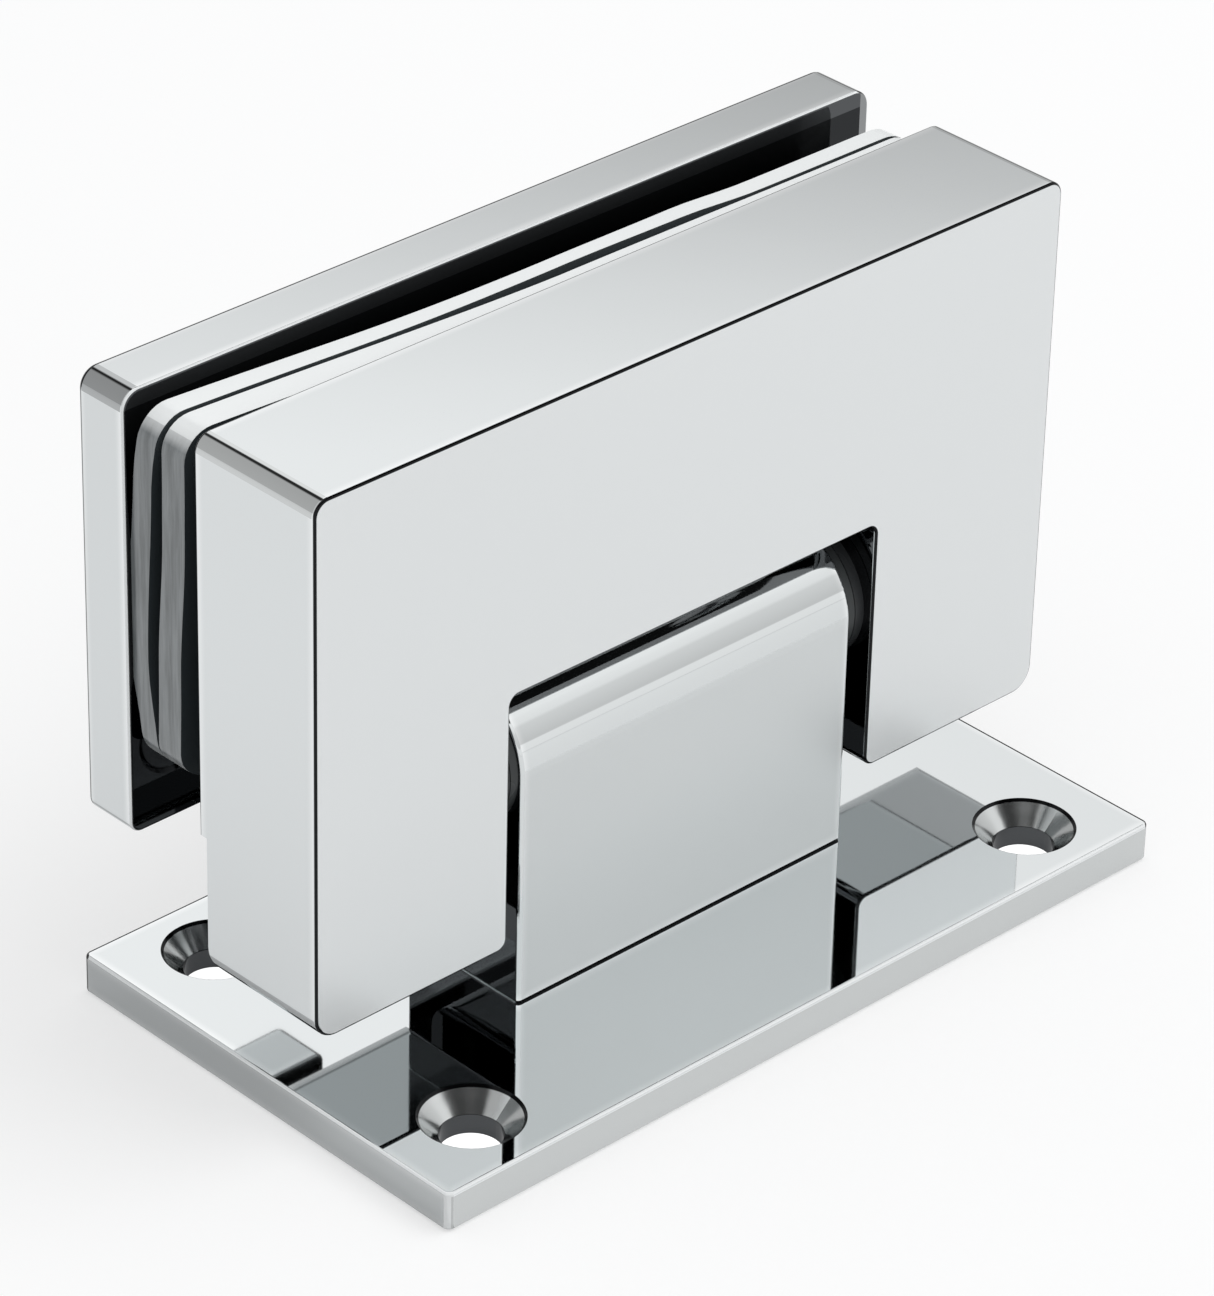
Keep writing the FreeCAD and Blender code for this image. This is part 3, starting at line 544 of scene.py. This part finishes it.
def plated(name, groups, box, shades, rims=(0.0, 0.0, 0.0), painted_highlight_rims=(0.0, 0.0),
           front=None, color=CHROME, clean_box=None, holes=()):
    """Chrome with a painted highlight along the edges of its box, and painted shade and painted
    reflections in boxes.

    shades: painted shade and painted reflections, colours with the boxes that they fill. rims:
    strength of the dark lines of painted reflection at the front, back and right.
    painted_highlight_rims: of the rims painted as pale highlights at the front and left.
    clean_box: where no rim is laid. front: haze, milk and paler colour of the flat front, a
    painted soft reflection. holes: colour, inner and outer radius of rings round the four plate
    holes.
    """
    haze, milk, front_sheen_colour = front or (0.0, 0.0, color)
    material = surface(name, groups["plating"],
                       {"Low Roughness": 0.015, "High Roughness": 0.045, "Ripple": 0.015,
                        "Front Haze": haze, "Front Milk": milk}, color=color)
    tree = material.node_tree
    shader = next(node for node in tree.nodes if node.type == "BSDF_PRINCIPLED")
    skin = next(node for node in tree.nodes if node.type == "GROUP")
    # flat front in a paler colour, partly matte: a painted soft reflection
    last = tint(tree, color, skin.outputs["Front"], front_sheen_colour)
    # painted highlight on the flat faces beside the edges of the box
    sheen = place_effect(tree, groups["sheen"], Low=box[0], High=box[1])
    last = tint(tree, last, sheen, PAINTED_HIGHLIGHT)
    # rims: pale painted highlights, and dark lines of painted reflection
    pale = add(tree, "ShaderNodeGroup", node_tree=groups["painted_rim_reflection"],
               Front=painted_highlight_rims[0], Left=painted_highlight_rims[1])
    painted_rim_reflection = add(tree, "ShaderNodeGroup", node_tree=groups["painted_rim_reflection"],
                Front=rims[0], Back=rims[1], Right=rims[2])
    pale_mask, dark_mask = pale.outputs["Mask"], painted_rim_reflection.outputs["Mask"]
    if clean_box:
        outside = rest_of(tree, box_masks(tree, groups["place"], [clean_box]))
        pale_mask = product(tree, pale_mask, outside)
        dark_mask = product(tree, dark_mask, outside)
    last = tint(tree, last, pale_mask, PAINTED_HIGHLIGHT)
    last = tint(tree, last, dark_mask, PAINTED_DARK_LINE)
    metal = scaled_sum(tree, pale_mask, -RIM_MILK, skin.outputs["Metallic"])
    join(tree, metal, shader.inputs["Metallic"])
    # painted shade and painted reflections laid on in boxes
    for shade, boxes in shades:
        last = tint(tree, last, box_masks(tree, groups["place"], boxes), shade)
    # painted shade in the bores and dark rings of painted reflection round the sinks
    for shade, inner, outer in holes:
        ring = place_effect(tree, groups["hole"], Centre=HOLE_CENTRE, Inner=inner, Outer=outer)
        last = tint(tree, last, ring, shade)
    if holes:
        cone = place_effect(tree, groups["hole"], Centre=HOLE_CENTRE, Outer=PLATE_SINK)
        gloss = scaled_sum(tree, cone, SINK_ROUGHNESS, skin.outputs["Roughness"])
        join(tree, gloss, shader.inputs["Roughness"])
    join(tree, last, shader.inputs["Base Color"])
    return material


def make_clamp(groups):
    return plated("clamp_chrome", groups, ((-45.5, -8.2, 11.4), (45.5, 7.4, 66)), [
        # painted reflection band on the rounding of the left top edge
        (PALE_PAINTED_SHADE, [((-45.6, -7.8, 64.4), (-43.9, 7.1, 66.1))]),
        # painted shade on the undersides of both ears, seen mirrored in the plate
        (GREY_PAINTED_SHADE, [((-46, -8, 11), (46, 6.3, 11.6))]),
        # painted shade on the walls of the cut-out, the back and the step below it
        (DULL_PAINTED_SHADE, [((-CUT, -7.9, 11.7), (CUT, 8, NOTCH_TOP + EDGE)),
                ((-45.2, 7.3, 26), (45.2, 8, 65.7)),
                ((-45.2, 6.3, 12), (45.2, 7.3, 25.5))]),
        # painted shade on the ceiling of the cut-out
        (DARK_PAINTED_SHADE, [((-CUT, -7.9, NOTCH_TOP - EDGE), (CUT, 8, NOTCH_TOP + EDGE))]),
        # dark lines of painted reflection on the edges at the back, the right top and the right
        # front
        (PAINTED_DARK_LINE, [((-44, 7.15, 65.6), (44.5, 7.5, 66.1)),
                 ((45.05, -7.9, 65.4), (45.6, 7.4, 66.1)),
                 ((45.33, -8.3, 14), (45.6, -8.1, 64.5))]),
    # flat front paler and partly matte: a painted soft reflection
    ], rims=(1.0, 1.0, 1.0), front=(0.28, 0.62, CLAMP_FRONT_PAINTED_SHEEN),
        clean_box=((-46, -7.9, 11), (46, 8, 12)))


def make_cover(groups):
    return plated("cover_chrome", groups, ((-45.5, 16.85, 21), (45.5, 23, 66)), [
        # painted reflection band on the rounding of the left top edge
        (MID_PAINTED_SHADE, [((-45.6, 17.2, 64.1), (-43.6, 22.4, 66.1))]),
        # painted shade on the walls of the cut-out
        (DULL_PAINTED_SHADE, [((-CUT, 16, 20.5), (CUT, 22.4, NOTCH_TOP + EDGE))]),
        # inner face in painted dark reflection of the gasket, with its upper band and right
        # strip of paler painted reflection
        (BLACK_PAINTED_SHADE, [((-45.4, 16, 20.8), (45.4, 16.9, 65.9))]),
        (DULL_PAINTED_SHADE, [((-45.4, 16, 64.3), (44.4, 16.9, 65.9))]),
        (LOW_PAINTED_SHADE, [((44.4, 16, 37), (45.4, 16.9, 65.9))]),
        # dark lines of painted reflection on the edges at the back and the right top
        (PAINTED_DARK_LINE, [((-44, 22.42, 65.4), (44.5, 23.1, 66.1)),
                 ((45.0, 17, 65.0), (45.6, 23, 66.1))]),
    ], rims=(0.0, 1.0, 1.0), painted_highlight_rims=(1.0, 0.0), color=COVER_CHROME)


def make_block(groups):
    return plated("block_chrome", groups, ((-20.75, -7.5, 4), (20.75, 7.5, 60)), [
        # painted shade on both sides
        (DULL_PAINTED_SHADE, [((-21, -7.2, 4), (-20.7, 7.6, 35.2)),
                ((20.7, -7.2, 4), (21, 7.6, 35.2))]),
        # painted shade line along the foot, in the crease where the block meets the plate
        (PAINTED_DARK_LINE, [((-20.8, -7.6, 3.9), (20.8, -7.1, 4.26))]),
    # flat front paler and partly matte: a painted soft reflection
    ], front=(0.28, 0.5, BLOCK_FRONT_PAINTED_SHEEN), color=SOFT_CHROME)


def make_plate(groups):
    sinks = [((across - SINK_REACH, back - SINK_REACH, 1),
              (across + SINK_REACH, back + SINK_REACH, 3.98))
             for across in (-HOLE_CENTRE[0], HOLE_CENTRE[0])
             for back in (-HOLE_CENTRE[1], HOLE_CENTRE[1])]
    return plated("plate_chrome", groups, ((-45, -25, 0), (45, 25, 4)), [
        # painted shade and reflection on the narrow front side and in the countersinks
        (PALE_PAINTED_SHADE, [((-44.8, -25.1, 0.2), (44.8, -24.9, 3.6))]),
        (PALE_PAINTED_SHADE, sinks),
        # dark lines of painted reflection on the edges at the back and the right
        (PAINTED_DARK_LINE, [((-44.8, 24.65, 3.4), (45, 25.1, 4.1)),
                 ((44.62, -24.6, 3.4), (45.1, 25, 4.1))]),
    ], rims=(0.0, 1.0, 1.0), painted_highlight_rims=(1.0, 1.0),
        clean_box=((-44.5, -24.5, -1), (44.5, 24.5, 5)),
        # painted shade in the bores, and a dark ring of painted reflection round each
        # countersink
        holes=[(DULL_PAINTED_SHADE, 0, PLATE_BORE), (PAINTED_DARK_LINE, PLATE_SINK - RING_WIDTH, PLATE_SINK)])


def make_materials():
    plating = plating_group()
    moulded = moulded_group()
    groups = {"plating": plating, "place": place_mask_group(), "painted_rim_reflection": painted_rim_reflection_group(),
              "sheen": painted_edge_sheen_group(), "hole": hole_mask_group()}
    heads = surface("turned_screw", turned_group(),
                    {"Centre": (SCREW_X * MM, 0, SCREW_Z * MM)},
                    color=HEAD_STEEL, Metallic=1.0)
    steel = surface("bright_steel", plating,
                    {"Low Roughness": 0.1, "High Roughness": 0.18, "Ripple": 0.02},
                    color=BUSH_STEEL, Metallic=1.0)
    wire = surface("spring_wire", plating,
                   {"Low Roughness": 0.25, "High Roughness": 0.4, "Ripple": 0.1},
                   color=WIRE_STEEL, Metallic=1.0)
    slide = surface("slide_plastic", moulded,
                    {"Tint": SLIDE_TINT, "Shade": SLIDE_SHADE, "Skin": 0.1},
                    Specular_IOR_Level=0.2)
    washer = surface("washer_plastic", moulded,
                     {"Tint": WASHER_TINT, "Shade": WASHER_SHADE, "Skin": 0.15},
                     Specular_IOR_Level=0.2)
    milky = surface("milky_gasket", gasket_group(), {}, Coat_Weight=0.4, Coat_Roughness=0.08)
    return {"clamp_body": make_clamp(groups), "cover_plate": make_cover(groups),
            "pivot_block": make_block(groups), "wall_plate": make_plate(groups),
            "cover_screw_left": heads, "cover_screw_right": heads,
            "steel": steel, "spring_steel": wire,
            "white_plastic": slide, "grey_plastic": washer, "gasket": milky}


def dress_nodes(materials):
    """Every node takes its own material, or else the one of its slot in the record."""
    for part in frame["record"]["subparts"]:
        material = materials.get(part["node"]) or materials[part["material_slot"]]
        for place in frame["nodes"][part["node"]].material_slots:
            place.material = material


# Gaskets

def arc(across, up, radius, start, end, steps=8):
    """Points of an arc, angles in degrees."""
    angles = [math.radians(start + (end - start) * i / steps) for i in range(steps + 1)]
    return [(across + radius * math.cos(a), up + radius * math.sin(a)) for a in angles]


def gasket_rings():
    """Outline and screw holes of a gasket, as seen from the front."""
    half, foot, top, corner = GASKET_HALF, GASKET_FOOT, GASKET_TOP, GASKET_CORNER
    outline = arc(half - corner, top - corner, corner, 0, 90)
    outline += arc(-half + corner, top - corner, corner, 90, 180)
    outline += arc(-half + corner, foot + corner, corner, 180, 270)
    outline += arc(-NOTCH_HALF - 1, foot + 1, 1, 270, 360, 3)
    outline += arc(-NOTCH_HALF + 1, NOTCH_TOP - 1, 1, 180, 90, 3)
    outline += arc(NOTCH_HALF - 1, NOTCH_TOP - 1, 1, 90, 0, 3)
    outline += arc(NOTCH_HALF + 1, foot + 1, 1, 180, 270, 3)
    outline += arc(half - corner, foot + corner, corner, 270, 360)
    holes = [arc(side * SCREW_X, SCREW_Z, SCREW_HOLE, 0, 345, 23) for side in (-1, 1)]
    return [outline] + holes


def bend_sheet(name, front_face, thickness, top_drop):
    """Closed gasket with softly rounded rims; faces are functions of place."""
    flat = bmesh.new()
    edges = []
    for ring in gasket_rings():
        corners = [flat.verts.new((across, 0, up)) for across, up in ring]
        for i, corner in enumerate(corners):
            edges.append(flat.edges.new((corner, corners[(i + 1) % len(corners)])))
    bmesh.ops.triangle_fill(flat, use_beauty=True, use_dissolve=False, edges=edges)
    cuts = [(Vector((across, 0, 0)), Vector((1, 0, 0))) for across in range(-44, 45, 2)]
    cuts += [(Vector((0, 0, up)), Vector((0, 0, 1))) for up in range(32, 65, 2)]
    for place, normal in cuts:
        shapes = flat.verts[:] + flat.edges[:] + flat.faces[:]
        bmesh.ops.bisect_plane(flat, geom=shapes, dist=1e-4, plane_co=place, plane_no=normal)
    bmesh.ops.recalc_face_normals(flat, faces=flat.faces[:])
    if flat.faces[0].normal.y < 0:
        bmesh.ops.reverse_faces(flat, faces=flat.faces[:])
    raised = bmesh.ops.extrude_face_region(flat, geom=flat.faces[:])
    back = {item for item in raised["geom"] if isinstance(item, bmesh.types.BMVert)}
    for vert in flat.verts:
        across, up = vert.co.x, vert.co.z
        depth = front_face(across, up)
        if vert in back:
            depth += thickness(across, up)
        drop = top_drop(across) * smooth(GASKET_TOP - 12, GASKET_TOP, up)
        vert.co = Vector((across, depth, up - drop)) * MM
    bmesh.ops.recalc_face_normals(flat, faces=flat.faces[:])
    data = bpy.data.meshes.new(name)
    flat.to_mesh(data)
    flat.free()
    piece = bpy.data.objects.new(name, data)
    bpy.context.collection.objects.link(piece)
    data.shade_smooth()
    rim = piece.modifiers.new("rim", "BEVEL")
    rim.width = 0.3 * MM
    rim.segments = 3
    rim.limit_method = "ANGLE"
    rim.angle_limit = math.radians(50)
    rim.harden_normals = True
    return piece


def along(stops, place):
    """Value at a place, eased between (place, value) stops."""
    for (low, first), (high, last) in zip(stops, stops[1:]):
        if place <= high:
            return first + (last - first) * smooth(low, high, place)
    return stops[-1][1]


def curl(across):
    """How far both gaskets curl off the clamp: 0 from the middle on, 1 at the left end."""
    return max(0.0, -across / 43) ** 1.3


def front_gasket_face(across, up):
    away = along(((30, 2.9), (40, 2.7), (54, 1.95), (60, 1.85)), up)
    return CLAMP_BACK + 0.06 + away * curl(across)


def gasket_space(across, up):
    """Gap between the two gaskets."""
    top = along(((-25, 0.6), (3, 1.25), (16, 1.1), (25, 0.5), (41, 0.5), (45, 0.15)), across)
    end = along(((30, 0.05), (40, 1.45), (50, 1.65), (58, 1.45), (64.5, 0.6)), up)
    return top + (end - top) * min(1.0, curl(across))


def back_gasket_thickness(across, up):
    end = along(((33, 2.1), (45, 2.7), (60, 2.4)), up)
    middle = along(((3, 1.7), (25, 2.0)), across)
    return middle + (end - middle) * min(1.0, curl(across))


def back_gasket_face(across, up):
    return front_gasket_face(across, up) + 3.0 + gasket_space(across, up)


def top_drop(across):
    return along(((-42, 0.0), (0, 0.5), (40, 0.75)), across)


def make_gaskets(materials):
    front = bend_sheet("front_gasket_sheet", front_gasket_face, lambda across, up: 3.0, top_drop)
    back = bend_sheet("back_gasket_sheet", back_gasket_face, back_gasket_thickness, top_drop)
    for piece, node in ((front, "front_gasket"), (back, "back_gasket")):
        piece.data.materials.append(materials["gasket"])
        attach(piece, "leaf")
        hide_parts(node)


# Studio

def make_floor(place_group):
    """Pale paper under the plate; the camera sees it white, with the hinge's shadow."""
    data = bpy.data.meshes.new("floor")
    corners = [(-FLOOR_HALF, -FLOOR_HALF, 0), (FLOOR_HALF, -FLOOR_HALF, 0),
               (FLOOR_HALF, FLOOR_HALF, 0), (-FLOOR_HALF, FLOOR_HALF, 0)]
    data.from_pydata(corners, [], [(0, 1, 2, 3)])
    floor = bpy.data.objects.new("floor", data)
    bpy.context.collection.objects.link(floor)
    floor.location.z = -0.0002
    material = bpy.data.materials.new("floor_paper")
    tree = tree_of(material)
    paper = add(tree, "ShaderNodeBsdfDiffuse", Color=PAPER)
    rays = add(tree, "ShaderNodeLightPath")
    seen = combine(tree, "MAXIMUM", rays.outputs["Is Camera Ray"],
                   rays.outputs["Is Transmission Ray"])
    # painted light: under the plate, seen through its holes, the floor glows brighter in place
    # of its shadow
    below = box_masks(tree, place_group, [((-44, -24, -1), (44, 24, 1))])
    direct = product(tree, seen, scaled_sum(tree, below, PAINTED_HOLE_GLOW, FLOOR_GLOW))
    # painted shadow: left of the plate the chrome mirrors the floor darker
    beside = box_masks(tree, place_group, [((-54, -26, -1), (-44, 60, 1))])
    sheen = scaled_sum(tree, beside, PAINTED_SHADOW_SHEEN - FLOOR_SHEEN, FLOOR_SHEEN)
    glow = scaled_sum(tree, rays.outputs["Is Glossy Ray"], sheen, direct)
    white = add(tree, "ShaderNodeEmission", Color=WHITE)
    join(tree, glow, white.inputs["Strength"])
    both = add(tree, "ShaderNodeAddShader")
    join(tree, paper.outputs["BSDF"], both.inputs[0])
    join(tree, white.outputs["Emission"], both.inputs[1])
    out = add(tree, "ShaderNodeOutputMaterial")
    join(tree, both.outputs["Shader"], out.inputs["Surface"])
    data.materials.append(material)


def brightness_ramp(tree, height, stops):
    """Grey levels of the tent's wall by the sine of the height above the floor."""
    bands = add(tree, "ShaderNodeValToRGB")
    ramp = bands.color_ramp
    for i, (level, bright) in enumerate(stops):
        place = (level + 1) / 2
        stop = ramp.elements[i] if i < 2 else ramp.elements.new(place)
        stop.position = place
        stop.color = (bright, bright, bright, 1)
    join(tree, height, bands.inputs["Fac"])
    return bands.outputs["Color"]


def side_mix(tree, level, low_side, high_side):
    """Goes softly from one wall of the tent to the opposite one."""
    return blend(tree, ease(tree, level, -0.06, 0.06), low_side, high_side)


def make_world():
    """Light tent: white for the camera, soft bands of grey for what is mirrored."""
    world = bpy.data.worlds.new("tent")
    bpy.context.scene.world = world
    tree = tree_of(world)
    place = add(tree, "ShaderNodeTexCoord")
    axes = split(tree, place.outputs["Generated"])
    height = ease(tree, axes["Z"], -1.0, 1.0)
    walls = [brightness_ramp(tree, height, stops)
             for stops in (FRONT_WALL, BACK_LEFT_WALL, BACK_RIGHT_WALL)]
    across = combine(tree, "SUBTRACT", axes["X"], axes["Y"])
    fall = add(tree, "ShaderNodeMapRange", From_Min=-0.12, From_Max=0.10,
               To_Min=1.03, To_Max=0.935)
    join(tree, across, fall.inputs["Value"])
    tilted = add(tree, "ShaderNodeVectorMath", operation="SCALE")
    join(tree, walls[2], tilted.inputs["Vector"])
    join(tree, fall.outputs["Result"], tilted.inputs["Scale"])
    back = side_mix(tree, axes["X"], walls[1], tilted.outputs["Vector"])
    around = side_mix(tree, axes["Y"], walls[0], back)
    tent = add(tree, "ShaderNodeBackground")
    join(tree, around, tent.inputs["Color"])
    white = add(tree, "ShaderNodeBackground", Color=WHITE)
    soft = add(tree, "ShaderNodeBackground", Color=ROOM_LIGHT)
    rays = add(tree, "ShaderNodeLightPath")
    mirrored = add(tree, "ShaderNodeMixShader")
    join(tree, rays.outputs["Is Glossy Ray"], mirrored.inputs["Fac"])
    join(tree, soft.outputs["Background"], mirrored.inputs[1])
    join(tree, tent.outputs["Background"], mirrored.inputs[2])
    clear = combine(tree, "MAXIMUM", rays.outputs["Is Camera Ray"],
                    rays.outputs["Is Transmission Ray"])
    mix = add(tree, "ShaderNodeMixShader")
    join(tree, clear, mix.inputs["Fac"])
    join(tree, mirrored.outputs["Shader"], mix.inputs[1])
    join(tree, white.outputs["Background"], mix.inputs[2])
    out = add(tree, "ShaderNodeOutputWorld")
    join(tree, mix.outputs["Shader"], out.inputs["Surface"])


def hang_lamp(name, place, width, power):
    data = bpy.data.lights.new(name, "AREA")
    data.shape = "SQUARE"
    data.size = width
    data.energy = power
    lamp = bpy.data.objects.new(name, data)
    bpy.context.collection.objects.link(lamp)
    lamp.location = place
    aim = Vector((0, 0, 0.03)) - Vector(place)
    lamp.rotation_euler = aim.to_track_quat("-Z", "Y").to_euler()
    lamp.visible_camera = False
    lamp.visible_glossy = False


def make_studio():
    bpy.context.scene.view_settings.view_transform = "Standard"
    make_floor(bpy.data.node_groups["place_mask"])
    make_world()
    hang_lamp("key_lamp", (0.5, -0.5, 1.4), 1.2, 8.5)


stand_camera()
finishes = make_materials()
dress_nodes(finishes)
make_gaskets(finishes)
make_studio()
